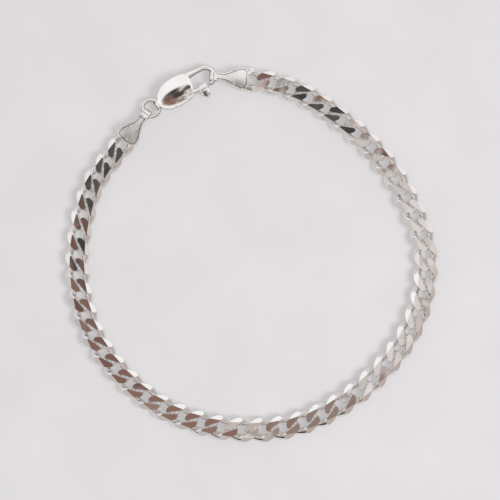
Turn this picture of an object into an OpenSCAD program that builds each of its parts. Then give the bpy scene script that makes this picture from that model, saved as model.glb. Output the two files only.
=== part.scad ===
// Flat curb link bracelet in silver, closed by a lobster clasp and lying as a closed loop.
// Z is up, the bracelet lies flat on z = 0, and the origin is under the middle of the loop.

/* [Loop] */
// Width of the loop at the middle of the chain
loop_w = 61; // [58:0.5:70]

/* [Chain] */
// Width of the chain over the links
chain_w = 4.4; // [3.8:0.1:5]
// Thickness of the chain between its two flat cut faces
chain_t = 2.0; // [1.7:0.1:2.3]
// Thickness of the round wire of a link
wire_d = 1.25; // [1:0.05:1.3]
// Longest distance from one link to the next
link_pitch = 3.6; // [3.5:0.05:3.9]
// Play between two links that hold each other
link_play = 0.2; // [0.15:0.05:0.4]
// Turn of each end of a link out of the flat
link_twist = 55; // [50:1:60]
// Width of the flat cut face along the middle of the chain
flat_w = 2.9; // [2.4:0.1:3.6]
// Slope of the two bevelled cuts beside the flat face
bevel_slope = 38; // [20:1:50]

/* [End caps] */
// Length of an end cap from the middle of its eye to its wide end
cap_l = 6.1; // [5.4:0.1:7]
// How much narrower than the chain the wide end is
cap_inset = 0.55; // [0.2:0.05:0.9]
// Width of the neck and its folded eye
neck_w = 1.35; // [1.1:0.05:1.4]
// Height that the cap's face stands over the chain's face
cap_over = 0.2; // [0.1:0.05:0.4]
// Wall of the folded eye
eye_wall = 0.4; // [0.3:0.05:0.45]
// Radius of the wide end's corners
cap_corner = 0.6; // [0.3:0.05:0.9]
// Distance from the wide end to the middle of the soldered link
link_out = 0.9; // [0.7:0.05:1.2]

/* [Jump ring] */
// Outside diameter of the jump ring
ring_d = 3.6; // [3.3:0.1:4.2]
// Thickness of the jump ring's wire
ring_wire = 0.6; // [0.5:0.05:0.7]

/* [Clasp] */
// Length of the clasp's body, from its tail eye to the hook's opening
body_l = 7.0; // [6.5:0.1:7.6]
// Width of the clasp's body
body_w = 4.9; // [4.5:0.1:5.3]
// Thickness of the clasp at its belly
clasp_t = 2.5; // [2.4:0.05:2.9]
// Radius of the belly's rounded faces across the clasp
belly_r = 10; // [6:0.5:16]
// Length of the hook's opening
hook_open_l = 3.75; // [3.6:0.05:4.1]
// Radius of the hook's bend at the middle of its wire
hook_r = 1.54; // [1.5:0.02:1.6]
// Thickness of the hook's wire
hook_wire = 0.9; // [0.8:0.02:0.94]
// Turn of the hook past its far end, down to its tip
hook_tip_turn = 75; // [70:1:80]
// Width of the tail eye
tail_w = 1.3; // [1:0.1:1.5]
// Wall of the tail eye
tail_wall = 0.35; // [0.3:0.05:0.5]

/* [Lever] */
// Thickness of the lever
lever_t = 1.0; // [0.8:0.05:1.1]
// Width of the lever's gate arm
gate_w = 0.8; // [0.6:0.05:0.9]
// Reach of the thumb tab from the gate arm
tab_l = 1.9; // [1.4:0.1:2.4]
// Width of the thumb tab
tab_w = 1.4; // [1:0.1:1.8]
// How far the lever opens
lever_open = 25; // [15:1:28]
// Diameter of the hinge pin
pin_d = 0.6; // [0.5:0.05:0.7]
// Wall of the lever's hub round the pin
hub_wall = 0.27; // [0.2:0.01:0.3]

/* [Fits] */
// Clearance of a wire in an eye, all round
eye_gap = 0.37; // [0.35:0.02:0.43]
// Clearance of the jump ring in the clasp's tail eye
tail_gap = 0.26; // [0.24:0.02:0.34]
// Clearance of the lever in its slot and at the hook's tip
lever_gap = 0.12; // [0.1:0.02:0.16]
// Clearance of the pin in the body
pin_gap = 0.03; // [0.02:0.01:0.05]

/* [Hidden] */
$fn = 48;
SILVER = [0.86, 0.86, 0.85];
BRIGHT = [0.93, 0.93, 0.92];
STEP_OUT = 1; // extra length of a cutting tool past the face that it cuts

// Link: a superellipse whose two ends are turned out of the flat in opposite ways
LINK_SQUARE = 2 / 2.5; // power that squares the plan of the link
TWIST_SPREAD = 0.8; // power that spreads the turn along the link
LINK_RINGS = 16; // sections round a link
WIRE_ANGLES = [0, 52, 128, 180, 232, 308]; // corners of the wire's section
half_l = (link_pitch + wire_d + link_play) / 2;
half_w = (chain_w - wire_d) / 2;

// Middle of the loop's outline, which becomes the origin
MIDDLE = loop_w / 2 * [-0.0016, 0.001];

// Clasp: place of its tail eye, its turn, and the points on it that carry the rest
clasp_at = loop_w / 2 * [-0.541, 0.859] - MIDDLE;
CLASP_TURN = 26.8;
CATCH_TURN = -31; // where on the hook's bend the right cap hangs
hook_x = body_l + hook_open_l - hook_r + hook_wire / 2;
hook_y = 0.16 * body_w;
clasp_z = clasp_t / 2;
slot_t = lever_t + 2 * lever_gap;
pin_x = 0.855 * body_l;
pin_y = -0.16 * body_w;
tail_bore = ring_wire + 2 * tail_gap;
tail_r = tail_bore / 2 + tail_wall;
hub_r = pin_d / 2 + pin_gap + hub_wall;
hook_tip = [hook_x, hook_y] + hook_r * ray(-hook_tip_turn);
gate_tip = hook_tip - [pin_x, pin_y] - [(hook_wire + gate_w) / 2 + lever_gap, 0.2 * gate_w];
slot_up = (body_l - pin_x) * tan(lever_open) + hub_r / cos(lever_open) + lever_gap;
TAB_AT = 0.72; // place of the thumb tab along the gate arm
TAB_TURN = -80; // turn of the thumb tab from the clasp's length

// Outline of the clasp's body: [share of the body's length, share of its width], from the tail, over the top
BODY_OUTLINE = [
    [0.03, 0.14], [0.11, 0.33], [0.25, 0.49], [0.44, 0.575], [0.68, 0.605], [0.87, 0.575], [0.97, 0.45],
    [0.99, 0.22], [0.97, -0.03], [0.94, -0.22], [0.87, -0.30], [0.74, -0.35], [0.52, -0.395], [0.31, -0.385],
    [0.15, -0.30], [0.03, -0.14]
];
// Outline of the thumb tab: [share of its reach, share of its width]
TAB_OUTLINE = [
    [-0.15, -0.45], [0.35, -0.42], [0.75, -0.40], [0.98, -0.15], [1.0, 0.22], [0.8, 0.48], [0.4, 0.52], [-0.15, 0.6]
];

// Jump ring and caps, each placed on the piece that carries it
CAP_TURN_LEFT = -128;
CAP_TURN_RIGHT = -5;
ring_r = (ring_d - ring_wire) / 2;
ring_at = clasp_at - seat_r(ring_r, tail_w) * ray(CLASP_TURN);
left_eye_at = ring_at + seat_r(ring_r, neck_w) * ray(CAP_TURN_LEFT);
right_eye_at = clasp_at + turned([hook_x, hook_y] + seat_r(hook_r, neck_w) * ray(CATCH_TURN), CLASP_TURN);
eye_bore = hook_wire + 2 * eye_gap;
eye_r = eye_bore / 2 + eye_wall;
cap_t = chain_t + cap_over;
cap_w = chain_w - cap_inset;
SOLDER_L = 0.6; // length of the last link that is soldered into the cap
FLARE = [0.26, 0.84]; // where the neck begins and ends to widen, as shares of the cap's length

// Route of the chain, by hand: the middle of the chain between the two soldered links, as shares of half
// the loop's width
ROUTE = [
    [-0.931, 0.350], [-1.003, -0.085], [-0.892, -0.508], [-0.580, -0.846], [-0.180, -1.003], [0.259, -0.984],
    [0.646, -0.767], [0.921, -0.420], [1.0, -0.020], [0.885, 0.328], [0.702, 0.597], [0.472, 0.803],
    [0.275, 0.925], [0.118, 0.982]
];
// How the links lie in their play: [share of the route, lead over even spacing as a share of the pitch]
LAY = [
    [0, 0], [0.07, -0.07], [0.15, -0.02], [0.28, 0.06], [0.42, 0.08], [0.59, 0.21], [0.70, 0.06], [0.77, 0.04],
    [0.865, 0.09], [1, 0]
];
ROUTE_STEPS = 16; // samples between two points of the route
left_link_at = left_eye_at + (cap_l + link_out) * ray(CAP_TURN_LEFT);
right_link_at = right_eye_at + (cap_l + link_out) * ray(CAP_TURN_RIGHT);
route_ends = concat(
    [left_link_at - link_pitch * ray(CAP_TURN_LEFT), left_link_at], [for (p = ROUTE) loop_w / 2 * p - MIDDLE],
    [right_link_at, right_link_at - link_pitch * ray(CAP_TURN_RIGHT)]
);
route = sampled(route_ends, ROUTE_STEPS);
route_len = running_length(route);
route_x = [for (i = [0 : len(route) - 1]) [route_len[i], route[i].x]];
route_y = [for (i = [0 : len(route) - 1]) [route_len[i], route[i].y]];
chain_l = route_len[len(route) - 1];
link_count = ceil(chain_l / link_pitch) - 1;

// Small helpers
function ray(a) = [cos(a), sin(a)];
function turned(p, a) = [p.x * cos(a) - p.y * sin(a), p.x * sin(a) + p.y * cos(a)];
function signed_pow(x, n) = sign(x) * pow(abs(x), n);
// Distance of an eye from the middle of the bend of radius r that it holds, for an eye of width w
function seat_r(r, w) = (r + sqrt(r * r - w * w / 4)) / 2;
function smooth(x) = let(c = min(max(x, 0), 1)) c * c * (3 - 2 * c);

// Smooth curve through points: p holds one more point before and after the curve
function blend(a, b, c, d, t) =
    0.5 * (2 * b + (c - a) * t + (2 * a - 5 * b + 4 * c - d) * t * t + (3 * b - a - 3 * c + d) * t * t * t);
function sampled(p, n) = concat(
    [for (i = [1 : len(p) - 3], j = [0 : n - 1]) blend(p[i - 1], p[i], p[i + 1], p[i + 2], j / n)],
    [p[len(p) - 2]]
);
function closed_curve(p, n) = let(m = len(p))
    [for (i = [0 : m - 1], j = [0 : n - 1])
        blend(p[(i + m - 1) % m], p[i], p[(i + 1) % m], p[(i + 2) % m], j / n)];
function running_length(p) =
    [for (i = 0, s = 0; i < len(p); s = s + (i + 1 < len(p) ? norm(p[i + 1] - p[i]) : 0), i = i + 1) s];
function route_point(s) = [lookup(s, route_x), lookup(s, route_y)];

// One link about its own middle, its length along X, cut flat above and below and bevelled beside
function limb(t) = let(
    run = signed_pow(cos(t), LINK_SQUARE),
    side = half_w * signed_pow(sin(t), LINK_SQUARE),
    turn = link_twist * signed_pow(run, TWIST_SPREAD)
) [half_l * run, side * cos(turn), -side * sin(turn)];
function cut_height(y) = chain_t / 2 - max(0, abs(y) - flat_w / 2) * tan(bevel_slope);
function trimmed(p) = let(top = cut_height(p.y)) [p.x, p.y, min(max(p.z, -top), top)];
function wire_section(t) = let(
    d = limb(t + 1) - limb(t - 1),
    along = d / norm(d),
    across = [along.y, -along.x, 0] / norm([along.y, -along.x]),
    up = cross(across, along)
) [for (a = WIRE_ANGLES) trimmed(limb(t) + wire_d / 2 * (cos(a) * across + sin(a) * up))];
link_points = [for (i = [0 : LINK_RINGS - 1]) each wire_section(i * 360 / LINK_RINGS)];
link_faces = let(n = len(WIRE_ANGLES)) [
    for (i = [0 : LINK_RINGS - 1], j = [0 : n - 1]) let(
        a = i * n + j,
        b = i * n + (j + 1) % n,
        c = (i + 1) % LINK_RINGS * n + (j + 1) % n,
        d = (i + 1) % LINK_RINGS * n + j
    ) each [[a, b, c], [a, c, d]]
];

// The points of a link set on the route, turned to run along it
function set_link(s) = let(
    at = route_point(s),
    d = route_point(s + link_pitch / 4) - route_point(s - link_pitch / 4),
    a = atan2(d.y, d.x)
) [for (p = link_points) let(q = turned([p.x, p.y], a)) [at.x + q.x, at.y + q.y, p.z + chain_t / 2]];

module chain() {
    pitch = chain_l / (link_count + 1);
    points = [for (k = [1 : link_count]) each set_link(pitch * (k + lookup(k / (link_count + 1), LAY)))];
    faces = [for (k = [0 : link_count - 1], f = link_faces) f + k * len(link_points) * [1, 1, 1]];
    color(BRIGHT) polyhedron(points, faces);
}

// Half width of an end cap at a share of its length
function cap_half_w(s) = neck_w / 2 + (cap_w - neck_w) / 2 * smooth((s - FLARE[0]) / (FLARE[1] - FLARE[0]));
function cap_side() = concat(
    [[0, neck_w / 2]],
    [for (i = [0 : 10]) let(s = FLARE[0] + (FLARE[1] - FLARE[0]) * i / 10) [s * cap_l, cap_half_w(s)]],
    [for (a = [90 : -18 : 0]) [cap_l - cap_corner, cap_w / 2 - cap_corner] + cap_corner * ray(a)]
);
function mirrored(p) = [for (i = [len(p) - 1 : -1 : 0]) [p[i].x, -p[i].y]];

module soldered_link() {
    intersection() {
        translate([cap_l + link_out, 0, chain_t / 2]) polyhedron(link_points, link_faces);
        translate([cap_l - SOLDER_L, -chain_w, -STEP_OUT]) cube([3 * link_pitch, 2 * chain_w, chain_t + 2 * STEP_OUT]);
    }
}

module end_cap() {
    difference() {
        union() {
            linear_extrude(cap_t) polygon(concat(cap_side(), mirrored(cap_side())));
            translate([0, 0, eye_r]) rotate([90, 0, 0]) cylinder(h = neck_w, r = eye_r, center = true);
            soldered_link();
        }
        translate([0, 0, eye_r]) rotate([90, 0, 0]) cylinder(h = neck_w + 2 * STEP_OUT, d = eye_bore, center = true);
    }
}

module end_cap_left() {
    color(SILVER) translate([left_eye_at.x, left_eye_at.y, 0]) rotate([0, 0, CAP_TURN_LEFT]) end_cap();
}

module end_cap_right() {
    color(SILVER) translate([right_eye_at.x, right_eye_at.y, 0]) rotate([0, 0, CAP_TURN_RIGHT]) end_cap();
}

module jump_ring() {
    color(BRIGHT) translate([ring_at.x, ring_at.y, clasp_z])
        rotate_extrude() translate([ring_r, 0]) circle(d = ring_wire);
}

// Everything of the clasp is drawn with its tail eye at the origin, its length along X and its middle at z = 0
module on_clasp() {
    translate([clasp_at.x, clasp_at.y, clasp_z]) rotate([0, 0, CLASP_TURN]) children();
}

module belly() {
    intersection() {
        linear_extrude(clasp_t, center = true)
            polygon(closed_curve([for (p = BODY_OUTLINE) [p[0] * body_l, p[1] * body_w]], 3));
        for (side = [-1, 1]) {
            translate([-body_l, 0.1 * body_w, side * (clasp_t / 2 - belly_r)])
                rotate([0, 90, 0]) cylinder(h = 3 * body_l, r = belly_r);
        }
    }
}

module lever_slot() {
    translate([pin_x - hub_r - lever_gap, pin_y - body_w, -slot_t / 2]) cube([body_l, body_w + slot_up, slot_t]);
}

module hook() {
    translate([pin_x, hook_y + hook_r, 0]) rotate([0, 90, 0]) cylinder(h = hook_x - pin_x, d = hook_wire);
    translate([hook_x, hook_y, 0]) rotate([0, 0, -hook_tip_turn])
        rotate_extrude(angle = 90 + hook_tip_turn) translate([hook_r, 0]) circle(d = hook_wire);
    translate([hook_tip.x, hook_tip.y, 0]) sphere(d = 0.96 * hook_wire);
}

module clasp_body() {
    color(SILVER) on_clasp() difference() {
        union() {
            difference() {
                belly();
                lever_slot();
            }
            hook();
            rotate([90, 0, 0]) cylinder(h = tail_w, r = tail_r, center = true);
        }
        rotate([90, 0, 0]) cylinder(h = 2 * body_w, d = tail_bore, center = true);
        translate([pin_x, pin_y, 0]) cylinder(h = 2 * clasp_t, d = pin_d + 2 * pin_gap, center = true);
    }
}

// The lever is drawn with its hinge pin at the origin
module gate_arm() {
    arm = gate_tip / norm(gate_tip);
    side = [-arm.y, arm.x];
    linear_extrude(lever_t)
        polygon([-hub_r * side, gate_tip - gate_w / 2 * side, gate_tip + gate_w / 2 * side, hub_r * side]);
    translate([gate_tip.x, gate_tip.y, 0]) cylinder(h = lever_t, d = gate_w);
}

module thumb_tab() {
    translate([TAB_AT * gate_tip.x, TAB_AT * gate_tip.y, 0]) rotate([0, 0, TAB_TURN]) linear_extrude(lever_t)
        polygon(closed_curve([for (p = TAB_OUTLINE) [p[0] * tab_l, p[1] * tab_w]], 3));
}

module clasp_lever() {
    color(BRIGHT) on_clasp() translate([pin_x, pin_y, -lever_t / 2]) difference() {
        union() {
            cylinder(h = lever_t, r = hub_r);
            gate_arm();
            thumb_tab();
        }
        translate([0, 0, -STEP_OUT]) cylinder(h = lever_t + 2 * STEP_OUT, d = pin_d + 2 * pin_gap);
    }
}

module clasp_pin() {
    color(SILVER) on_clasp() translate([pin_x, pin_y, 0]) cylinder(h = 0.85 * clasp_t, d = pin_d, center = true);
}

chain();
end_cap_left();
end_cap_right();
jump_ring();
clasp_body();
clasp_lever();
clasp_pin();
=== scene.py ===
import bisect
import logging
import math
import random
from contextlib import contextmanager
from dataclasses import dataclass, replace
from enum import Enum
from typing import Callable, Iterator, Sequence

import bmesh
import bpy
from bpy.types import Material, NodeSocket, NodeTree, Object
from mathutils import Matrix, Vector


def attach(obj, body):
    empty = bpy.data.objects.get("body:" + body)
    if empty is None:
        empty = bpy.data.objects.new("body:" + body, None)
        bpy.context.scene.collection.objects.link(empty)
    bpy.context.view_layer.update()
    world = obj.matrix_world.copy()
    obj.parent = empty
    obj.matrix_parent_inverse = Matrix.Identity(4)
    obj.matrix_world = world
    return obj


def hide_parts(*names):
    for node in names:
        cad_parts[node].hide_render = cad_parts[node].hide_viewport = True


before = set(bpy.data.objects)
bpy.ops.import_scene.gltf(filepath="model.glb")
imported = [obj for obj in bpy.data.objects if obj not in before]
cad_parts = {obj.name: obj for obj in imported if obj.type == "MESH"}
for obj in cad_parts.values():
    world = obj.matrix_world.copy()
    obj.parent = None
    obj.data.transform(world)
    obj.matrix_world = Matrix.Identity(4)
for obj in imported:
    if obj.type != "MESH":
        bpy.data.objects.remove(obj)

log = logging.getLogger("bracelet")
SEED = 11
MM = 0.001
FINE = 1e-8  # how near a cut a point counts as on it, in metres
MERGE = 1e-7  # points nearer to each other than this are merged, in metres
NEAR = 1e-6  # how near a plane a face counts as in it, in metres
FACING = 0.999  # cosine from which a face counts as facing a way
RIM_ANGLE = 50.0  # edges that are sharper are rounded off, in degrees
SOFT_ANGLE = 40.0  # edges that are sharper stay sharp in the shading, in degrees
DRILL_REACH = 5 * MM  # half a drill's length, more than any piece is thick
BORE_SIDES = 32
DOME_SIDES, DOME_RINGS = 96, 160  # so many that the ball's own facets don't show on a dome
# A Mix node's inputs for its share and its two colours, and the settings with which it gives a colour
MIX_SHARE, MIX_LOW, MIX_HIGH = 0, 6, 7
MIX = {"data_type": "RGBA", "out": 2}
# The setting of a Map Range node that goes smoothly from one end to the other
EASED = {"interpolation_type": "SMOOTHSTEP"}

Pairs = tuple[tuple[float, float], ...]
Triple = tuple[float, float, float]


class Body(Enum):
    """The CAD bodies that pieces ride on."""

    BRACELET = "bracelet"
    LEVER = "lever"


class Slot(Enum):
    """The record's material slots."""

    CHAIN = "chain_silver"
    CAP = "cap_silver"
    CLASP = "clasp_silver"
    WIRE = "wire_silver"


class Carve(Enum):
    """What a tool shape does to an object."""

    ADD = "UNION"
    CUT = "DIFFERENCE"
    KEEP = "INTERSECT"


def ray(degrees: float) -> Vector:
    """Unit vector in the plane at that angle from +X."""
    return Vector((math.cos(math.radians(degrees)), math.sin(math.radians(degrees)), 0.0))


def linear(hex_colour: str) -> tuple[float, float, float, float]:
    """Turns an sRGB hex colour to linear RGBA.

    Args:
        hex_colour: six hex digits.

    Returns:
        Linear red, green, blue and an alpha of 1.
    """
    parts = [int(hex_colour[i : i + 2], 16) / 255 for i in (0, 2, 4)]
    lin = [c / 12.92 if c <= 0.04045 else ((c + 0.055) / 1.055) ** 2.4 for c in parts]
    return (lin[0], lin[1], lin[2], 1.0)


def add_node(
    tree: NodeTree,
    kind: str,
    links: dict[str | int, object],
    stops: Sequence[tuple[float, str]] = (),
    out: str | int = 0,
    **settings: object,
) -> NodeSocket:
    """Adds a shader node with its settings and links.

    Args:
        tree: the node tree.
        kind: the node's type, such as "TexNoise".
        links: {input: value or output socket}, with inputs by name or number.
        stops: a colour ramp's (place, sRGB hex colour), in rising order.
        out: the output that is wanted, by name or number.
        settings: the node's own properties.

    Returns:
        That output.
    """
    node = tree.nodes.new("ShaderNode" + kind)
    for name, value in settings.items():
        setattr(node, name, value)
    for key, value in links.items():
        if isinstance(value, NodeSocket):
            tree.links.new(value, node.inputs[key])
        else:
            node.inputs[key].default_value = value
    if stops:
        ramp = node.color_ramp
        while len(ramp.elements) < len(stops):
            ramp.elements.new(0.5)
        for element, (where, tone) in zip(ramp.elements, stops):
            element.position = where
            element.color = linear(tone)
    return node.outputs[out]


# Mesh work


def deselect() -> None:
    """Leaves edit mode and deselects every object."""
    if bpy.context.object and bpy.context.object.mode != "OBJECT":
        bpy.ops.object.mode_set(mode="OBJECT")
    bpy.ops.object.select_all(action="DESELECT")


def make_active(obj: Object) -> None:
    """Selects one object alone and makes it active.

    Args:
        obj: the object.
    """
    deselect()
    obj.select_set(True)
    bpy.context.view_layer.objects.active = obj


@contextmanager
def editing(obj: Object) -> Iterator[None]:
    """Edit mode on one object with everything selected, and back to object mode.

    Args:
        obj: the object.

    Yields:
        Nothing; the lines inside work in edit mode.
    """
    make_active(obj)
    bpy.ops.object.mode_set(mode="EDIT")
    bpy.ops.mesh.select_mode(type="VERT")
    bpy.ops.mesh.select_all(action="SELECT")
    yield
    bpy.ops.object.mode_set(mode="OBJECT")


def pick_faces(obj: Object, test: Callable[[Vector, Vector], bool]) -> None:
    """Selects, in edit mode, the faces that pass a test.

    Args:
        obj: the object in edit mode.
        test: takes a face's middle and its normal.
    """
    bpy.ops.mesh.select_mode(type="FACE")
    bpy.ops.mesh.select_all(action="DESELECT")
    mesh = bmesh.from_edit_mesh(obj.data)
    for face in mesh.faces:
        if test(face.calc_center_median(), face.normal):
            face.select_set(True)
    bmesh.update_edit_mesh(obj.data)


def tidy_mesh(obj: Object) -> None:
    """Merges doubles and turns all normals outwards.

    Args:
        obj: the object.
    """
    with editing(obj):
        bpy.ops.mesh.remove_doubles(threshold=MERGE)
        bpy.ops.mesh.normals_make_consistent(inside=False)


def apply_modifier(obj: Object, kind: str, **settings: object) -> None:
    """Adds one modifier, sets it and applies it.

    Args:
        obj: the object.
        kind: the modifier's type.
        settings: its properties.
    """
    make_active(obj)
    modifier = obj.modifiers.new(kind.lower(), kind)
    for name, value in settings.items():
        setattr(modifier, name, value)
    bpy.ops.object.modifier_apply(modifier=modifier.name)


def carve(obj: Object, tool: Object, how: Carve) -> None:
    """Works on an object with a tool shape, which is then removed.

    Args:
        obj: the object that stays.
        tool: the tool shape.
        how: what the tool does.
    """
    apply_modifier(obj, "BOOLEAN", operation=how.value, solver="EXACT", object=tool)
    bpy.data.objects.remove(tool, do_unlink=True)


def round_rims(obj: Object, width: float, segments: int = 4) -> None:
    """Rounds off an object's sharp edges.

    Args:
        obj: the object.
        width: how far the rounding reaches, in millimetres.
        segments: its faces across.
    """
    apply_modifier(
        obj,
        "BEVEL",
        width=width * MM,
        segments=segments,
        limit_method="ANGLE",
        angle_limit=math.radians(RIM_ANGLE),
        use_clamp_overlap=True,
    )


def crown(obj: Object, top: Vector, radius: float, long_radius: float, up: int = 1) -> None:
    """Domes a flat face: keeps what lies in a large flattened ball that touches the face.

    Args:
        obj: the object.
        top: the dome's highest point, in millimetres.
        radius: the dome's radius across, in millimetres.
        long_radius: its radius along X, in millimetres.
        up: 1 for an upper face, -1 for a lower one.
    """
    deselect()
    bpy.ops.mesh.primitive_uv_sphere_add(segments=DOME_SIDES, ring_count=DOME_RINGS, radius=MM)
    ball = bpy.context.object
    shape = Matrix.Diagonal((math.sqrt(long_radius * radius), radius, radius, 1))
    place(ball, Matrix.Translation((top - Vector((0, 0, up * radius))) * MM) @ shape)
    carve(obj, ball, Carve.KEEP)


def place(obj: Object, matrix: Matrix) -> None:
    """Moves an object by a matrix and puts the place in its mesh.

    Args:
        obj: the object.
        matrix: the move, in metres.
    """
    make_active(obj)
    obj.matrix_world = matrix @ obj.matrix_world
    bpy.ops.object.transform_apply(location=True, rotation=True, scale=True)


def smooth(obj: Object, degrees: float = SOFT_ANGLE) -> None:
    """Smooth shading, with edges sharper than the angle kept sharp."""
    make_active(obj)
    bpy.ops.object.shade_smooth_by_angle(angle=math.radians(degrees))


def new_shape() -> Object:
    """The primitive just added, with its place put in its mesh."""
    bpy.ops.object.transform_apply(location=True, rotation=True, scale=True)
    return bpy.context.object


def copied(obj: Object) -> Object:
    """Copies an object.

    Args:
        obj: the object.

    Returns:
        The copy, with a mesh of its own.
    """
    copy = obj.copy()
    copy.data = obj.data.copy()
    bpy.context.collection.objects.link(copy)
    return copy


def joined(parts: Sequence[Object], name: str) -> Object:
    """Joins objects into one at the origin.

    Args:
        parts: the objects, of which the first gives the material slots.
        name: the joined object's name.

    Returns:
        The joined object.
    """
    deselect()
    for part in parts:
        part.select_set(True)
    bpy.context.view_layer.objects.active = parts[0]
    if len(parts) > 1:
        bpy.ops.object.join()
    whole = bpy.context.view_layer.objects.active
    whole.name = whole.data.name = name
    return whole


def blend_point(points: Sequence[Vector], t: float) -> Vector:
    """Point on the smooth curve between the second and third of four points, at share t."""
    a, b, c, d = points
    return 0.5 * (
        2 * b + (c - a) * t + (2 * a - 5 * b + 4 * c - d) * t**2 + (3 * b - a - 3 * c + d) * t**3
    )


def closed_curve(points: Sequence[Vector], steps: int) -> list[Vector]:
    """Smooth closed curve through points.

    Args:
        points: the points, in order.
        steps: the curve's steps from each point to the next.

    Returns:
        The curve's points.
    """
    count = len(points)
    return [
        blend_point([points[(i + k) % count] for k in (-1, 0, 1, 2)], j / steps)
        for i in range(count)
        for j in range(steps)
    ]


def plate_from(outline: Sequence[Vector], bottom: float, top: float) -> Object:
    """Flat plate of an outline: a circle pulled to the outline, filled and extruded.

    Args:
        outline: its points, in order.
        bottom: height of the lower face.
        top: height of the upper face.

    Returns:
        The plate.
    """
    deselect()
    bpy.ops.mesh.primitive_circle_add(vertices=len(outline), radius=MM, fill_type="NGON")
    plate = bpy.context.object
    for vertex, point in zip(plate.data.vertices, outline):
        vertex.co = (point.x, point.y, bottom)
    with editing(plate):
        bpy.ops.mesh.extrude_region_move(TRANSFORM_OT_translate={"value": (0, 0, top - bottom)})
        bpy.ops.mesh.select_all(action="SELECT")
        bpy.ops.mesh.normals_make_consistent(inside=False)
    return plate


def rod(radius: float, start: Vector, end: Vector, corners: int = 48) -> Object:
    """Straight round rod between two points.

    Args:
        radius: its radius.
        start: one end.
        end: the other end.
        corners: corners of its section.

    Returns:
        The rod, with its place in its mesh.
    """
    deselect()
    along = end - start
    bpy.ops.mesh.primitive_cylinder_add(vertices=corners, radius=radius, depth=along.length)
    bar = bpy.context.object
    turn = along.to_track_quat("Z", "Y").to_matrix().to_4x4()
    place(bar, Matrix.Translation((start + end) / 2) @ turn)
    return bar


def drill(
    obj: Object, radius: float, middle: Vector, way: Vector, sides: int = BORE_SIDES
) -> None:
    """Drills a round hole right through an object, along a unit vector."""
    reach = DRILL_REACH * way
    carve(obj, rod(radius, middle - reach, middle + reach, sides), Carve.CUT)


def block(low: Vector, high: Vector) -> Object:
    """Box between two corners.

    Args:
        low: its lowest corner.
        high: its highest corner.

    Returns:
        The box, with its place in its mesh.
    """
    deselect()
    bpy.ops.mesh.primitive_cube_add(size=1, location=(low + high) / 2, scale=high - low)
    return new_shape()


# Finishes


@dataclass(frozen=True)
class Silver:
    """Sterling silver 925: a near white metal whose gloss and fine marks come from how it was worked.

    The clouds are the buffing mop's smears, at their real size. Its hairlines are really about
    0.01 mm wide, too fine to show, so they are drawn ten and more times as wide. A flank tone is
    painted shade: it darkens the sides of a wire at its middle height, where a round wire shows a dark
    outline.
    """

    name: str
    colour: str
    shade: str
    rough: tuple[float, float]
    cloud_mm: float
    hair_mm: float
    hair_depth: float
    hair_height_mm: float = 0.01
    cloud_band: tuple[float, float] = (0.35, 0.62)
    gloss_band: tuple[float, float] = (0.15, 0.4)
    wave_mm: float = 2.2
    wave_depth_mm: float = 0.0
    # painted shade on a wire's sides: its dark tone, the height it lies round, and the distances over
    # which it fades out
    painted_flank_shade: str = ""
    flank_at_mm: float = 1.25
    flank_reach_mm: tuple[float, float] = (0.0, 0.0)

    def tint(self, tree: NodeTree, where: NodeSocket, cloud: NodeSocket) -> NodeSocket:
        """The metal's faintly clouded colour, with painted shade on its flanks if it has a flank tone.

        Args:
            tree: the material's node tree.
            where: the place on the object.
            cloud: the clouds' noise.

        Returns:
            The colour.
        """
        stops = list(zip(self.cloud_band, (self.shade, self.colour)))
        colour = add_node(tree, "ValToRGB", {"Fac": cloud}, stops)
        if not self.painted_flank_shade:
            return colour
        # painted shade: the dark tone takes the place of the metal's colour near the middle height and
        # fades out with the distance
        height = add_node(tree, "SeparateXYZ", {0: where}, out="Z")
        above = add_node(tree, "Math", {0: height, 1: self.flank_at_mm * MM}, operation="SUBTRACT")
        off = add_node(tree, "Math", {0: above}, operation="ABSOLUTE")
        near, far = (reach * MM for reach in self.flank_reach_mm)
        unshaded = add_node(tree, "MapRange", {"Value": off, "From Min": near, "From Max": far}, **EASED)
        pair = {MIX_SHARE: unshaded, MIX_LOW: linear(self.painted_flank_shade), MIX_HIGH: colour}
        return add_node(tree, "Mix", pair, **MIX)

    def make(self) -> Material:
        """Builds the finish's material.

        Returns:
            The material, with faint clouding of its colour and gloss, and hairline scratches.
        """
        material = bpy.data.materials.new(self.name)
        material.use_nodes = True
        tree = material.node_tree
        shader = tree.nodes["Principled BSDF"].inputs
        shader["Metallic"].default_value = 1.0
        where = add_node(tree, "TexCoord", {}, out="Object")
        scale = 1 / (self.cloud_mm * MM)
        cloud = add_node(tree, "TexNoise", {"Vector": where, "Scale": scale, "Detail": 4.0})
        tree.links.new(self.tint(tree, where, cloud), shader["Base Color"])
        scale = 1 / (self.hair_mm * MM)
        hair = add_node(
            tree, "TexNoise", {"Vector": where, "Scale": scale, "Detail": 6.0, "Roughness": 0.7}
        )
        both = add_node(tree, "Math", {0: cloud, 1: hair}, operation="MULTIPLY")
        ends = zip(("From Min", "From Max", "To Min", "To Max"), self.gloss_band + self.rough)
        tree.links.new(add_node(tree, "MapRange", {"Value": both, **dict(ends)}), shader["Roughness"])
        height = self.hair_height_mm * MM
        bump = add_node(tree, "Bump", {"Height": hair, "Strength": self.hair_depth, "Distance": height})
        if self.wave_depth_mm:
            scale, height = 1 / (self.wave_mm * MM), self.wave_depth_mm * MM
            wave = add_node(tree, "TexNoise", {"Vector": where, "Scale": scale, "Detail": 0.0})
            bump = add_node(
                tree, "Bump", {"Height": wave, "Strength": 1.0, "Distance": height, "Normal": bump}
            )
        tree.links.new(bump, shader["Normal"])
        return material


# Drawn and tumble polished wire: soft white gloss with faint lines
WIRE_FINISH = Silver(
    "silver_drawn_wire", "F4F2F1", "E9E7E6", (0.08, 0.16), cloud_mm=2.5, hair_mm=0.12, hair_depth=0.10
)
# The ring's wire: the same, with painted shade on its sides at middle height, a dark outline
RING_FINISH = replace(
    WIRE_FINISH, name="silver_ring_wire", painted_flank_shade="2E2A28", flank_reach_mm=(0.13, 0.21)
)
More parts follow.
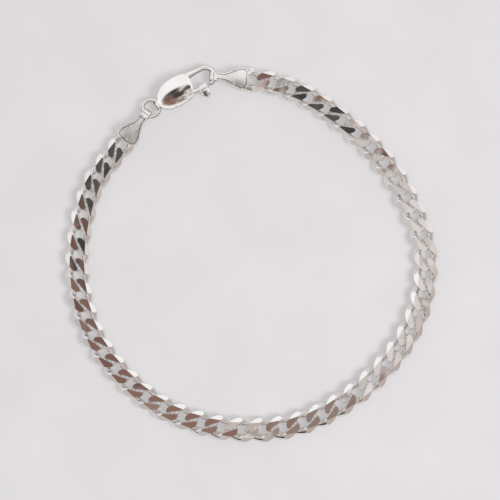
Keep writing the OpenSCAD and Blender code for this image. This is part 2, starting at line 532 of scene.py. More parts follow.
# Faces cut by a diamond tool: flat mirrors with hardly a mark, a little wavy from the tool's spring
CUT_FINISH = Silver(
    "silver_diamond_cut", "F5F3F2", "F0EEED", (0.012, 0.04), cloud_mm=3.0, hair_mm=0.30, hair_depth=0.03,
    wave_depth_mm=0.008,
)
# Pressed and soldered plate that lies on the skin: worn to a satin gloss
CAP_FINISH = Silver(
    "silver_pressed_plate", "EFECE9", "E2DEDA", (0.16, 0.26), cloud_mm=1.8, hair_mm=0.1, hair_depth=0.14
)
# The plates' pressed border line: tarnish that the polishing mop never reached, dull and dark
SEAM_FINISH = Silver(
    "silver_tarnished_line", "8A8079", "5F5650", (0.35, 0.5), cloud_mm=0.6, hair_mm=0.1, hair_depth=0.2
)
# Cast and buffed clasp: deep mirror gloss, with a lighter painted shade on its sides at middle height
CLASP_FINISH = Silver(
    "silver_cast_buffed", "F5F3F2", "EDEBEA", (0.04, 0.08), cloud_mm=2.2, hair_mm=0.15, hair_depth=0.05,
    painted_flank_shade="6E655F", flank_reach_mm=(0.18, 0.3),
)


@dataclass(frozen=True)
class Paper:
    """Matt drawing paper on a light table: off-white, with a faint tooth and soft, lifted shadows.

    The tooth is really about 0.3 mm wide, too fine to show, and is drawn at 1.1 mm.
    """

    colour: str = "78777A"
    shade: str = "717073"
    lit: str = "FFFCFB"
    lit_strength: float = 0.436
    rough: float = 0.9
    sheen: float = 0.15
    tooth_mm: float = 1.1
    tooth_depth: float = 0.35
    tooth_height_mm: float = 0.03
    mottle_mm: float = 14.0
    mottle_band: tuple[float, float] = (0.3, 0.7)

    def make(self) -> Material:
        """Builds the paper's material.

        Returns:
            The material.
        """
        material = bpy.data.materials.new("matt_paper")
        material.use_nodes = True
        tree = material.node_tree
        shader = tree.nodes["Principled BSDF"].inputs
        shader["Roughness"].default_value = self.rough
        shader["Specular IOR Level"].default_value = self.sheen
        shader["Emission Color"].default_value = linear(self.lit)
        shader["Emission Strength"].default_value = self.lit_strength
        where = add_node(tree, "TexCoord", {}, out="Object")
        scale = 1 / (self.mottle_mm * MM)
        mottle = add_node(tree, "TexNoise", {"Vector": where, "Scale": scale, "Detail": 5.0})
        stops = list(zip(self.mottle_band, (self.shade, self.colour)))
        tree.links.new(add_node(tree, "ValToRGB", {"Fac": mottle}, stops), shader["Base Color"])
        scale, height = 1 / (self.tooth_mm * MM), self.tooth_height_mm * MM
        tooth = add_node(tree, "TexNoise", {"Vector": where, "Scale": scale, "Detail": 3.0})
        links = {"Height": tooth, "Strength": self.tooth_depth, "Distance": height}
        tree.links.new(add_node(tree, "Bump", links), shader["Normal"])
        return material


# The object


@dataclass
class Layout:
    """Where each piece lies, as in the CAD source: sizes in millimetres, frames in metres."""

    loop_w: float = 61.0
    pitch: float = 3.6
    cap_length: float = 6.1
    link_out: float = 0.9
    neck_w: float = 1.35
    ring_r: float = 1.5
    body_length: float = 7.0
    body_w: float = 4.9
    clasp_t: float = 2.5
    hook_open: float = 3.75
    hook_r: float = 1.54
    hook_wire: float = 0.9
    tail_w: float = 1.3
    clasp_turn: float = 26.8
    catch_turn: float = -31.0
    cap_turn_left: float = -128.0
    cap_turn_right: float = -5.0
    # the outline's middle and the clasp's tail eye, as shares of half the loop's width
    middle_share: tuple[float, float] = (-0.0016, 0.001)
    clasp_share: tuple[float, float] = (-0.541, 0.859)
    # the hook's middle beside the clasp's middle line, as a share of the body's width
    hook_share: float = 0.16

    def __post_init__(self) -> None:
        """Works out the places that follow from the sizes."""
        half = self.loop_w / 2
        self.middle = half * Vector((*self.middle_share, 0))
        self.clasp_at = half * Vector((*self.clasp_share, 0)) - self.middle
        self.hook_x = self.body_length + self.hook_open - self.hook_r + self.hook_wire / 2
        self.hook_y = self.hook_share * self.body_w
        self.ring_at = self.clasp_at - self.seat(self.ring_r, self.tail_w) * ray(self.clasp_turn)
        self.left_eye_at = self.ring_at + self.seat(self.ring_r, self.neck_w) * ray(self.cap_turn_left)
        caught = self.seat(self.hook_r, self.neck_w) * ray(self.catch_turn)
        turn = Matrix.Rotation(math.radians(self.clasp_turn), 3, "Z")
        self.right_eye_at = self.clasp_at + turn @ (Vector((self.hook_x, self.hook_y, 0)) + caught)

    @staticmethod
    def seat(radius: float, width: float) -> float:
        """Distance of an eye of that width from the middle of the bend that it holds."""
        return (radius + math.sqrt(radius**2 - width**2 / 4)) / 2

    def on_clasp(self) -> Matrix:
        """The clasp's own frame: tail eye at the origin, length along X, middle height at zero."""
        lift = Vector((self.clasp_at.x, self.clasp_at.y, self.clasp_t / 2))
        return Matrix.Translation(lift * MM) @ Matrix.Rotation(math.radians(self.clasp_turn), 4, "Z")

    def on_cap(self, eye: Vector, turn: float) -> Matrix:
        """An end cap's frame: eye at the origin, length along X, floor at zero."""
        return Matrix.Translation(eye * MM) @ Matrix.Rotation(math.radians(turn), 4, "Z")


@dataclass
class CurbLink:
    """One curb link: round wire bent to a squared ring, twisted, cut flat and bevelled on both sides."""

    materials: Sequence[Material]
    half_length: float = 2.56
    half_width: float = 1.449
    wire: float = 1.02
    side_swell: float = 1.46
    corner_fullness: float = 1.32
    twist: float = 60.0
    cut_height: float = 0.87
    stretch: float = 1.05
    flat_w: float = 2.55
    bevel_slope: float = 25.0
    soft_angle: float = 24.0
    steps_along: int = 16
    steps_round: int = 6

    def bend_wire(self) -> Object:
        """Bends the round wire to the flat link.

        Returns:
            The untwisted link as a mesh.
        """
        deselect()
        bpy.ops.curve.primitive_bezier_circle_add(radius=1)
        ring = bpy.context.object
        ring.data.dimensions = "3D"
        ring.data.twist_mode = "Z_UP"
        for point in ring.data.splines[0].bezier_points:
            point.handle_left_type = point.handle_right_type = "FREE"
            point.handle_left = point.co + (point.handle_left - point.co) * self.corner_fullness
            point.handle_right = point.co + (point.handle_right - point.co) * self.corner_fullness
            if abs(point.co.y) > abs(point.co.x):
                point.radius = self.side_swell
        bpy.ops.object.mode_set(mode="EDIT")
        bpy.ops.curve.select_all(action="SELECT")
        bpy.ops.transform.resize(value=(self.half_length * MM, self.half_width * MM, 1))
        bpy.ops.object.mode_set(mode="OBJECT")
        ring.data.resolution_u = self.steps_along
        ring.data.bevel_depth = self.wire / 2 * MM
        ring.data.bevel_resolution = self.steps_round
        bpy.ops.object.convert(target="MESH")
        return bpy.context.object

    def cut(self, link: Object, at: Vector, normal: Vector) -> None:
        """Cuts the link with a flat tool and gives the new face the cut finish.

        Args:
            link: the link.
            at: a point of the cutting plane.
            normal: the side that is taken off.
        """
        with editing(link):
            bpy.ops.mesh.bisect(
                plane_co=at, plane_no=normal, use_fill=True, clear_outer=True, threshold=FINE
            )
            pick_faces(link, lambda c, n: abs((c - at).dot(normal)) < NEAR and n.dot(normal) > FACING)
            link.active_material_index = 1
            bpy.ops.object.material_slot_assign()

    def model(self) -> Object:
        """Makes one finished link about its own middle.

        Returns:
            The link, in the wire finish with its cut faces in the cut finish.
        """
        link = self.bend_wire()
        for material in self.materials:
            link.data.materials.append(material)
        tidy_mesh(link)
        reach = (self.half_length + self.wire / 2) / self.half_length
        turn = -2 * math.radians(self.twist) * reach
        apply_modifier(link, "SIMPLE_DEFORM", deform_method="TWIST", deform_axis="X", angle=turn)
        slope = math.radians(self.bevel_slope)
        for up in (1, -1):
            self.cut(link, Vector((0, 0, up * self.cut_height * MM)), Vector((0, 0, up)))
            for side in (1, -1):
                edge = Vector((0, side * self.flat_w / 2, up * self.cut_height)) * MM
                self.cut(link, edge, Vector((0, side * math.sin(slope), up * math.cos(slope))))
        place(link, Matrix.Diagonal((1, 1, self.stretch, 1)))
        smooth(link, self.soft_angle)
        return link


@dataclass
class Chain:
    """The loose curb links, one after another along the loop."""

    layout: Layout
    link: Object
    mid_height: float = 1.02
    roll: float = 1.1
    rock: float = 0.9
    # how far before and after a link its heading is taken, as a share of the pitch
    heading_reach: float = 0.25
    route_steps: int = 16
    # the middle of the chain as shares of half the loop's width, as in the CAD source
    route: Pairs = (
        (-0.931, 0.350), (-1.003, -0.085), (-0.892, -0.508), (-0.580, -0.846), (-0.180, -1.003),
        (0.259, -0.984), (0.646, -0.767), (0.921, -0.420), (1.0, -0.020), (0.885, 0.328),
        (0.702, 0.597), (0.472, 0.803), (0.275, 0.925), (0.118, 0.982),
    )
    # share of the way, and the links' lead over even spacing as a share of the pitch
    lay: Pairs = (
        (0, 0), (0.07, -0.07), (0.15, -0.02), (0.28, 0.06), (0.42, 0.08), (0.59, 0.21), (0.70, 0.06),
        (0.77, 0.04), (0.865, 0.09), (1, 0),
    )

    def way(self) -> tuple[list[float], list[Vector]]:
        """The chain's middle line.

        Returns:
            The running lengths and the points, in millimetres.
        """
        at = self.layout
        step = at.cap_length + at.link_out
        left, right = ray(at.cap_turn_left), ray(at.cap_turn_right)
        first, last = at.left_eye_at + step * left, at.right_eye_at + step * right
        between = [at.loop_w / 2 * Vector((x, y, 0)) - at.middle for x, y in self.route]
        knots = [first - at.pitch * left, first, *between, last, last - at.pitch * right]
        points = [
            blend_point(knots[i - 1 : i + 3], j / self.route_steps)
            for i in range(1, len(knots) - 2)
            for j in range(self.route_steps)
        ] + [last]
        lengths = [0.0]
        for a, b in zip(points, points[1:]):
            lengths.append(lengths[-1] + (b - a).length)
        return lengths, points

    @staticmethod
    def between(xs: Sequence[float], values: Sequence[float | Vector], x: float) -> float | Vector:
        """Reads a value off a line of straight stretches.

        Args:
            xs: the places at which the line bends, rising.
            values: the values there.
            x: the place to read at.

        Returns:
            The value at x.
        """
        i = min(max(bisect.bisect_right(xs, x), 1), len(xs) - 1)
        share = (x - xs[i - 1]) / (xs[i] - xs[i - 1])
        return values[i - 1] * (1 - share) + values[i] * share

    def places(self) -> list[Matrix]:
        """Where each loose link lies.

        Returns:
            The links' places and turns, in metres, with a small seeded roll and rock.
        """
        lengths, points = self.way()
        count = math.ceil(lengths[-1] / self.layout.pitch) - 1
        pitch = lengths[-1] / (count + 1)
        shares, leads = zip(*self.lay)
        aside = self.heading_reach * self.layout.pitch
        chance = random.Random(SEED)
        found = []
        for k in range(1, count + 1):
            s = pitch * (k + self.between(shares, leads, k / (count + 1)))
            at = self.between(lengths, points, s)
            ahead, behind = (self.between(lengths, points, s + step) for step in (aside, -aside))
            heading = ahead - behind
            turn = Matrix.Rotation(math.atan2(heading.y, heading.x), 4, "Z")
            roll = Matrix.Rotation(math.radians(chance.uniform(-self.roll, self.roll)), 4, "X")
            rock = Matrix.Rotation(math.radians(chance.uniform(-self.rock, self.rock)), 4, "Y")
            spot = Vector((at.x, at.y, self.mid_height)) * MM
            found.append(Matrix.Translation(spot) @ turn @ roll @ rock)
        log.info("chain of %d links, pitch %.3f mm", count, pitch)
        return found

    def model(self) -> Object:
        """Sets a copy of the link at each of its places.

        Returns:
            The whole chain as one piece.
        """
        links = []
        for matrix in self.places():
            links.append(copied(self.link))
            place(links[-1], matrix)
        return joined(links, "chain_of_curb_links")


@dataclass
class EndCap:
    """A folded and soldered end plate: a flared double leaf with an eye and the chain's last link."""

    layout: Layout
    link: Object
    materials: Sequence[Material]
    name: str
    eye_at: Vector
    turn: float
    crown_y: float
    crown_r: float
    crown_x: float = 4.5
    crown_long: float = 60.0
    plate_t: float = 2.2
    wide_w: float = 3.85
    corner: float = 0.9
    corner_step: int = 15
    eye_z: float = 1.22
    eye_bore: float = 1.3
    eye_wall: float = 0.28
    eye_sides: int = 64
    link_z: float = 1.0
    solder_length: float = 0.6
    flare: tuple[float, float] = (0.26, 0.84)
    stations: int = 16
    edge_round: float = 0.12
    groove_in: float = 0.2
    groove_w: float = 0.1
    groove_depth: float = 0.5
    soft_angle: float = 35.0

    def half_width(self, share: float) -> float:
        """Half the plate's width at a share of its length."""
        x = min(max((share - self.flare[0]) / (self.flare[1] - self.flare[0]), 0.0), 1.0)
        return self.layout.neck_w / 2 + (self.wide_w - self.layout.neck_w) / 2 * x * x * (3 - 2 * x)

    def outline(self) -> list[Vector]:
        """The plate's outline from its neck to its rounded wide end and back.

        Returns:
            Its points, in millimetres.
        """
        length = self.layout.cap_length
        side = [Vector((0.0, self.half_width(0), 0))]
        for i in range(self.stations + 1):
            share = self.flare[0] + (self.flare[1] - self.flare[0]) * i / self.stations
            side.append(Vector((share * length, self.half_width(share), 0)))
        heart = Vector((length - self.corner, self.wide_w / 2 - self.corner, 0))
        side += [heart + self.corner * ray(angle) for angle in range(90, -1, -self.corner_step)]
        return side + [Vector((p.x, -p.y, 0)) for p in reversed(side)]

    def groove(self, plate: Object) -> None:
        """Presses the border line into the plate's upper face and gives it the second finish.

        Args:
            plate: the plate.
        """
        top, depth = self.plate_t * MM, self.groove_depth * MM
        slack = depth / 10
        with editing(plate):
            pick_faces(plate, lambda c, n: n.z > FACING)
            for border, step in ((self.groove_in, -depth), (self.groove_w, depth)):
                bpy.ops.mesh.inset(thickness=border * MM)
                bpy.ops.mesh.extrude_region_move(TRANSFORM_OT_translate={"value": (0, 0, step)})
            pick_faces(plate, lambda c, n: top - depth - slack < c.z < top - slack)
            plate.active_material_index = 1
            bpy.ops.object.material_slot_assign()

    def plate(self) -> Object:
        """Makes the flared double leaf with its eye.

        Returns:
            The plate, with its eye at the origin.
        """
        plate = plate_from([p * MM for p in self.outline()], 0.0, self.plate_t * MM)
        for material in self.materials:
            plate.data.materials.append(material)
        self.groove(plate)
        crown(plate, Vector((self.crown_x, self.crown_y, self.plate_t)), self.crown_r, self.crown_long)
        eye_r = (self.eye_bore / 2 + self.eye_wall) * MM
        across = Vector((0, self.layout.neck_w / 2 * MM, 0))
        heart = Vector((0, 0, self.eye_z * MM))
        carve(plate, rod(eye_r, heart - across, heart + across, self.eye_sides), Carve.ADD)
        drill(plate, self.eye_bore / 2 * MM, heart, Vector((0, 1, 0)), self.eye_sides)
        round_rims(plate, self.edge_round, 3)
        smooth(plate, self.soft_angle)
        return plate

    def last_link(self) -> Object:
        """Makes the chain's last link, cut off where it goes into the plate.

        Returns:
            The link.
        """
        link = copied(self.link)
        cut_at = Vector((-(self.layout.link_out + self.solder_length) * MM, 0, 0))
        with editing(link):
            bpy.ops.mesh.bisect(
                plane_co=cut_at, plane_no=(1, 0, 0), use_fill=True, clear_inner=True, threshold=FINE
            )
        out = Vector((self.layout.cap_length + self.layout.link_out, 0, self.link_z))
        place(link, Matrix.Translation(out * MM))
        return link

    def model(self) -> Object:
        """Makes the cap and sets it on its eye.

        Returns:
            The cap as one piece.
        """
        cap = joined([self.plate(), self.last_link()], self.name)
        place(cap, self.layout.on_cap(self.eye_at, self.turn))
        return cap


@dataclass
class JumpRing:
    """A ring of round wire, bent shut, with its butt joint still to be seen."""

    layout: Layout
    material: Material
    wire: float = 0.6
    joint_at: float = 100.0
    joint_angle: float = 2.4
    sides: int = 24
    steps: int = 84

    def model(self) -> Object:
        """Spins the wire's section round to the joint.

        Returns:
            The ring in its place.
        """
        deselect()
        bpy.ops.mesh.primitive_circle_add(
            vertices=self.sides,
            radius=self.wire / 2 * MM,
            fill_type="NGON",
            location=(self.layout.ring_r * MM, 0, 0),
            rotation=(math.pi / 2, 0, 0),
        )
        ring = new_shape()
        with editing(ring):
            turn = math.radians(360 - self.joint_angle)
            bpy.ops.mesh.spin(steps=self.steps, angle=turn, center=(0, 0, 0), axis=(0, 0, 1))
        tidy_mesh(ring)
        smooth(ring)
        ring.data.materials.append(self.material)
        at = self.layout.ring_at
        turn = Matrix.Rotation(math.radians(self.joint_at), 4, "Z")
        place(ring, Matrix.Translation(Vector((at.x, at.y, self.layout.clasp_t / 2)) * MM) @ turn)
        return joined([ring], "jump_ring_wire")


@dataclass
class ClaspBody:
    """The lobster clasp's cast body: a buffed belly, a hook and a turned tail eye."""

    layout: Layout
    material: Material
    tail_wall: float = 0.35
    tail_bore: float = 1.12
    tail_sides: int = 48
    # the hinge pin, as shares of the body's length and width
    pin_share: tuple[float, float] = (0.855, -0.16)
    pin_bore: float = 0.66
    slot_t: float = 1.24
    hub_r: float = 0.6
    lever_gap: float = 0.12
    slot_up: float = 1.257
    belly_r: float = 19.0
    belly_long: float = 48.0
    belly_top: tuple[float, float] = (4.1, 0.49)
    rim: float = 0.45
    fine_rim: float = 0.05
    trim: float = 0.994
    tip_turn: float = 75.0
    # the tip's ball, as a share of the wire, so that it lies just inside it all round
    tip_share: float = 0.985
    root_at: float = 0.8
    # the bar's thickness as shares of the hook's wire, from its root in the belly to the bend
    root_taper: tuple[float, ...] = (1.75, 1.7, 1.52, 1.28, 1.1, 1.0, 1.0)
    hook_sides: int = 28
    tip_rings: int = 16
    bend_steps: int = 40
    outline_steps: int = 5
    # shares of the length and the width, from the tail and over the top, as in the CAD source
    outline_shares: Pairs = (
        (0.03, 0.14), (0.11, 0.33), (0.25, 0.49), (0.44, 0.575), (0.68, 0.605), (0.87, 0.575),
        (0.97, 0.45), (0.99, 0.22), (0.97, -0.03), (0.94, -0.22), (0.87, -0.30), (0.74, -0.35),
        (0.52, -0.395), (0.31, -0.385), (0.15, -0.30), (0.03, -0.14),
    )

    def pin_at(self) -> Vector:
        """The hinge pin's middle in the clasp's frame."""
        along, aside = self.pin_share
        return Vector((along * self.layout.body_length, aside * self.layout.body_w, 0))

    def on_pin(self) -> Matrix:
        """The hinge pin's own frame."""
        return self.layout.on_clasp() @ Matrix.Translation(self.pin_at() * MM)

    def hook_tip(self, scale: float = 1.0) -> Vector:
        """The middle of the hook's tip in the clasp's frame, in millimetres times a scale."""
        size = self.layout
        return Vector((size.hook_x, size.hook_y, 0)) * scale + size.hook_r * scale * ray(-self.tip_turn)

    def belly(self) -> Object:
        """Makes the belly: a plate of the outline, its faces domed and its rims rounded off.

        Returns:
            The belly.
        """
        size = self.layout
        scale = Vector((size.body_length, size.body_w, 0)) * self.trim * MM
        points = [Vector((x * scale.x, y * scale.y, 0)) for x, y in self.outline_shares]
        half = size.clasp_t / 2
        belly = plate_from(closed_curve(points, self.outline_steps), -half * MM, half * MM)
        for up in (-1, 1):
            crown(belly, Vector((*self.belly_top, up * half)), self.belly_r, self.belly_long, up)
        round_rims(belly, self.rim)
        return belly

    def hook(self) -> Object:
        """Makes the hook: a bar from the belly, bent round to its tip, thick at the root.

        Returns:
            The hook.
        """
        size = self.layout
        start = self.root_at * size.body_length
        top = size.hook_y + size.hook_r
        heart = Vector((size.hook_x, size.hook_y, 0)) * MM
        deselect()
        bpy.ops.mesh.primitive_circle_add(
            vertices=self.hook_sides,
            radius=self.root_taper[0] * size.hook_wire / 2 * self.trim * MM,
            fill_type="NGON",
            location=(start * MM, top * MM, 0),
            rotation=(0, math.pi / 2, 0),
        )
        hook = new_shape()
        with editing(hook):
            run = (size.hook_x - start) / (len(self.root_taper) - 1)
            for k, (before, after) in enumerate(zip(self.root_taper, self.root_taper[1:]), 1):
                bpy.ops.mesh.extrude_region_move(TRANSFORM_OT_translate={"value": (run * MM, 0, 0)})
                bpy.ops.transform.resize(
                    value=(1, after / before, after / before),
                    center_override=((start + k * run) * MM, top * MM, 0),
                )
            pick_faces(hook, lambda c, n: abs(c.x - heart.x) < NEAR)
            turn = math.radians(90 + self.tip_turn)
            bpy.ops.mesh.spin(steps=self.bend_steps, angle=turn, center=heart, axis=(0, 0, 1))
        tidy_mesh(hook)
        deselect()
        bpy.ops.mesh.primitive_uv_sphere_add(
            segments=self.hook_sides,
            ring_count=self.tip_rings,
            radius=size.hook_wire / 2 * self.tip_share * MM,
            location=self.hook_tip(MM),
        )
        carve(hook, new_shape(), Carve.ADD)
        return hook

    def model(self) -> Object:
        """Makes the body with its bores and the lever's slot.

        Returns:
            The body in its place.
        """
        size = self.layout
        pin = self.pin_at()
        body = self.belly()
        low = Vector((pin.x - self.hub_r - self.lever_gap, pin.y - size.body_w, -self.slot_t / 2))
        high = low + Vector((size.body_length, size.body_w + self.slot_up, self.slot_t))
        carve(body, block(low * MM, high * MM), Carve.CUT)
        carve(body, self.hook(), Carve.ADD)
        tail_r = self.tail_bore / 2 + self.tail_wall
        across = Vector((0, size.tail_w / 2 * MM, 0))
        carve(body, rod(tail_r * MM, -across, across, self.tail_sides), Carve.ADD)
        drill(body, self.tail_bore / 2 * MM, Vector(), Vector((0, 1, 0)), self.tail_sides)
        drill(body, self.pin_bore / 2 * MM, pin * MM, Vector((0, 0, 1)))
        round_rims(body, self.fine_rim, 2)
        smooth(body)
        body.data.materials.append(self.material)
        place(body, size.on_clasp())
        return joined([body], "lobster_clasp_body")


@dataclass
class ClaspLever:
    """The sprung lever: a gate arm that closes the hook, with a thumb tab."""

    clasp: ClaspBody
    material: Material
    thickness: float = 1.0
    gate_w: float = 0.8
    gate_sides: int = 40
    gate_rings: int = 24
    # where the arm starts, as a share of the hub's radius, and its tip's lag, as a share of its width
    gate_start: float = 0.3
    gate_lag: float = 0.2
    hub_sides: int = 48
    hub_round: float = 0.2
    tab_reach: float = 1.9
    tab_w: float = 1.4
    tab_share: float = 0.72
    tab_turn: float = -80.0
    tab_crown: float = 26.0
    tab_top: float = 0.78
    tab_round: float = 0.18
    tab_steps: int = 4
    tab_shares: Pairs = (
        (-0.15, -0.45), (0.35, -0.42), (0.75, -0.40), (0.98, -0.15), (1.0, 0.22), (0.8, 0.48),
        (0.4, 0.52), (-0.15, 0.6),
    )

    def gate_tip(self) -> Vector:
        """Works out where the gate arm ends.

        Returns:
            The arm's tip from the pin, in millimetres.
        """
        clasp = self.clasp
        off = (clasp.layout.hook_wire + self.gate_w) / 2 + clasp.lever_gap
        return clasp.hook_tip() - clasp.pin_at() - Vector((off, self.gate_lag * self.gate_w, 0))

    def gate(self, tip: Vector) -> Object:
        """Makes the gate arm: a round bar with a ball end, a little thicker than wide.

        Args:
            tip: its tip, from the pin, in millimetres.

        Returns:
            The arm.
        """
        radius = self.gate_w / 2 * MM
        start = self.gate_start * self.clasp.hub_r * tip.normalized() * MM
        arm = rod(radius, start, tip * MM, self.gate_sides)
        deselect()
        bpy.ops.mesh.primitive_uv_sphere_add(
            segments=self.gate_sides, ring_count=self.gate_rings, radius=radius, location=tip * MM
        )
        carve(arm, new_shape(), Carve.ADD)
        place(arm, Matrix.Diagonal((1, 1, self.thickness / self.gate_w, 1)))
        return arm

    def tab(self, tip: Vector) -> Object:
        """Makes the thumb tab: a plate with domed faces and round rims, across the arm.

        Args:
            tip: the arm's tip, from the pin, in millimetres.

        Returns:
            The tab.
        """
        root = self.tab_share * tip
        half = self.thickness / 2
        turn = Matrix.Rotation(math.radians(self.tab_turn), 3, "Z")
        shares = [Vector((x * self.tab_reach, y * self.tab_w, 0)) for x, y in self.tab_shares]
        outline = [(turn @ p + root) * MM for p in closed_curve(shares, self.tab_steps)]
        tab = plate_from(outline, -half * MM, half * MM)
        middle = root + turn @ Vector((self.tab_top * self.tab_reach, 0, 0))
        for side in (-1, 1):
            crown(tab, middle + Vector((0, 0, side * half)), self.tab_crown, self.tab_crown, side)
        round_rims(tab, self.tab_round)
        return tab

    def model(self) -> Object:
        """Makes the lever on its pin.

        Returns:
            The lever in its place.
        """
        clasp = self.clasp
        tip = self.gate_tip()
        up = Vector((0, 0, self.thickness / 2 * MM))
        lever = self.gate(tip)
        hub = rod(clasp.hub_r * MM, -up, up, self.hub_sides)
        round_rims(hub, self.hub_round)
        carve(lever, hub, Carve.ADD)
        carve(lever, self.tab(tip), Carve.ADD)
        drill(lever, clasp.pin_bore / 2 * MM, Vector(), Vector((0, 0, 1)))
        smooth(lever)
        lever.data.materials.append(self.material)
        place(lever, clasp.on_pin())
        return joined([lever], "clasp_thumb_lever")


@dataclass
class HingePin:
    """The plain pin that the lever turns on, with its ends buffed round."""

    clasp: ClaspBody
    material: Material
    diameter: float = 0.6
    length: float = 2.125
    end_round: float = 0.09

    def model(self) -> Object:
        """Makes the pin.

        Returns:
            The pin in its place.
        """
        up = Vector((0, 0, self.length / 2 * MM))
        pin = rod(self.diameter / 2 * MM, -up, up, BORE_SIDES)
        round_rims(pin, self.end_round, 3)
        smooth(pin)
        pin.data.materials.append(self.material)
        place(pin, self.clasp.on_pin())
        return joined([pin], "clasp_hinge_pin")


class Tone(Enum):
    """Colours of the things round a dim ceiling, which the cut faces mirror."""

    SOOT = "3D3F3D"
    SMOKE = "4F4F4C"
    UMBER = "6A534A"
    BROWN = "785E55"
    SIENNA = "85685D"
    ROSE = "91766B"
    TAUPE = "8C7A71"
    SAND = "AFA39C"
    PEARL = "CAC3BF"
    CHALK = "DAD4D1"


@dataclass
class Studio:
    """Paper, a soft light from the lower right, a pale room dark overhead, and the camera."""

    # the camera's place over the paper and what it takes in, in millimetres, and its slant
    middle: Triple = (-0.30, 0.50, 0.0)
    height: float = 350.0
    slant: float = 5.0
    view_w: float = 88.0
    sensor: float = 36.0
    # the light's and the paper's measures, in metres
    clip_start: float = 0.01
    sheet_w: float = 3.0
    window_at: Triple = (0.42, -0.19, 0.54)
    window_size: float = 0.34
    window_power: float = 7.0
    room_light: float = 1.15
    bounces: int = 10
    paper: Paper = Paper()
    # where a way meets a level ceiling is told in heights from the spot over the camera's middle
    lowest: float = 0.05
    rim_at: Triple = (-0.01, 0.0, 0.0)
    rim_reach: tuple[float, float] = (0.128, 0.158)
    core_tone: Tone = Tone.SOOT
    core_at: Triple = (-0.008, 0.006, 0.0)
    core_reach: tuple[float, float] = (0.042, 0.058)
    drift_scale: float = 10.0
    drift_band: tuple[float, float] = (0.3, 0.7)
    drift_share: float = 0.03
    fleck_scale: float = 16.0
    fleck_band: tuple[float, float] = (0.47, 0.56)
    # two rings of tones round the patch, from its left side by below, right and above back to the left
    deep_tones: tuple[tuple[float, Tone], ...] = (
        (0.0, Tone.UMBER), (0.05, Tone.BROWN), (0.14, Tone.SIENNA), (0.22, Tone.SIENNA),
        (0.26, Tone.TAUPE), (0.32, Tone.TAUPE), (0.36, Tone.SIENNA), (0.42, Tone.SIENNA),
        (0.47, Tone.TAUPE), (0.52, Tone.SAND), (0.56, Tone.PEARL), (0.585, Tone.PEARL),
        (0.605, Tone.SIENNA), (0.625, Tone.SOOT), (0.73, Tone.SOOT), (0.75, Tone.CHALK),
        (0.80, Tone.UMBER), (0.84, Tone.SOOT), (0.96, Tone.SOOT), (1.0, Tone.UMBER),
    )
    pale_tones: tuple[tuple[float, Tone], ...] = (
        (0.0, Tone.ROSE), (0.17, Tone.ROSE), (0.24, Tone.SAND), (0.35, Tone.PEARL),
        (0.48, Tone.CHALK), (0.61, Tone.PEARL), (0.635, Tone.SIENNA), (0.665, Tone.SMOKE),
        (0.72, Tone.SMOKE), (0.737, Tone.ROSE), (0.75, Tone.CHALK), (0.80, Tone.SIENNA),
        (0.85, Tone.SIENNA), (0.90, Tone.SMOKE), (0.96, Tone.SMOKE), (1.0, Tone.ROSE),
    )
    # the walls' tones by how steeply a way rises, from level to upright
    wall_tones: tuple[tuple[float, str], ...] = (
        (0.0, "9A9593"), (0.12, "BDB9B7"), (0.24, "EBE9E9"), (0.4, "DEDCDC"), (0.6, "EFEEEF"),
        (1.0, "F2F1F2"),
    )
    # the walls' darker sides: where to, the tone, and between which shares of facing there it comes in
    dark_sides: tuple[tuple[Triple, str, tuple[float, float]], ...] = (
        ((0.6, -0.8, 0.0), "B3A8A2", (0.1, 0.7)),
        ((-0.75, -0.66, 0.0), "B9B4B1", (0.45, 0.72)),
        ((-0.75, -0.66, 0.0), "34302E", (0.82, 0.95)),
    )

    def floor(self) -> None:
        """Lays the paper."""
        deselect()
        bpy.ops.mesh.primitive_plane_add(size=self.sheet_w)
        sheet = bpy.context.object
        sheet.name = "paper_floor"
        sheet.data.materials.append(self.paper.make())

    def camera(self) -> None:
        """Sets the camera over the bracelet, a little towards its lower side."""
        data = bpy.data.cameras.new("camera")
        camera = bpy.data.objects.new("camera", data)
        bpy.context.collection.objects.link(camera)
        slant = math.radians(self.slant)
        away = Vector((0, -math.sin(slant), math.cos(slant))) * self.height
        camera.location = (Vector(self.middle) + away) * MM
        camera.rotation_euler = (slant, 0, 0)
        data.sensor_width = self.sensor
        data.lens = self.sensor * self.height / self.view_w
        data.clip_start = self.clip_start
        bpy.context.scene.camera = camera

    def lights(self) -> None:
        """Hangs the soft light, which the silver doesn't mirror."""
        data = bpy.data.lights.new("window", "AREA")
        data.shape = "DISK"
        data.size = self.window_size
        data.energy = self.window_power
        lamp = bpy.data.objects.new("window", data)
        bpy.context.collection.objects.link(lamp)
        lamp.location = self.window_at
        lamp.visible_glossy = False
        lamp.rotation_euler = (-lamp.location).to_track_quat("-Z", "Y").to_euler()

    @staticmethod
    def beyond(tree: NodeTree, spot: NodeSocket, at: Triple, reach: tuple[float, float]) -> NodeSocket:
        """Share that grows smoothly from 0 to 1 with the distance from a place on the ceiling.

        Args:
            tree: the world's node tree.
            spot: the place looked at.
            at: the place that the distance is taken from.
            reach: the distances at which the share is 0 and 1.

        Returns:
            The share.
        """
        aside = add_node(tree, "VectorMath", {0: spot, 1: at}, operation="SUBTRACT")
        away = add_node(tree, "VectorMath", {0: aside}, out="Value", operation="LENGTH")
        links = {"Value": away, "From Min": reach[0], "From Max": reach[1]}
        return add_node(tree, "MapRange", links, **EASED)

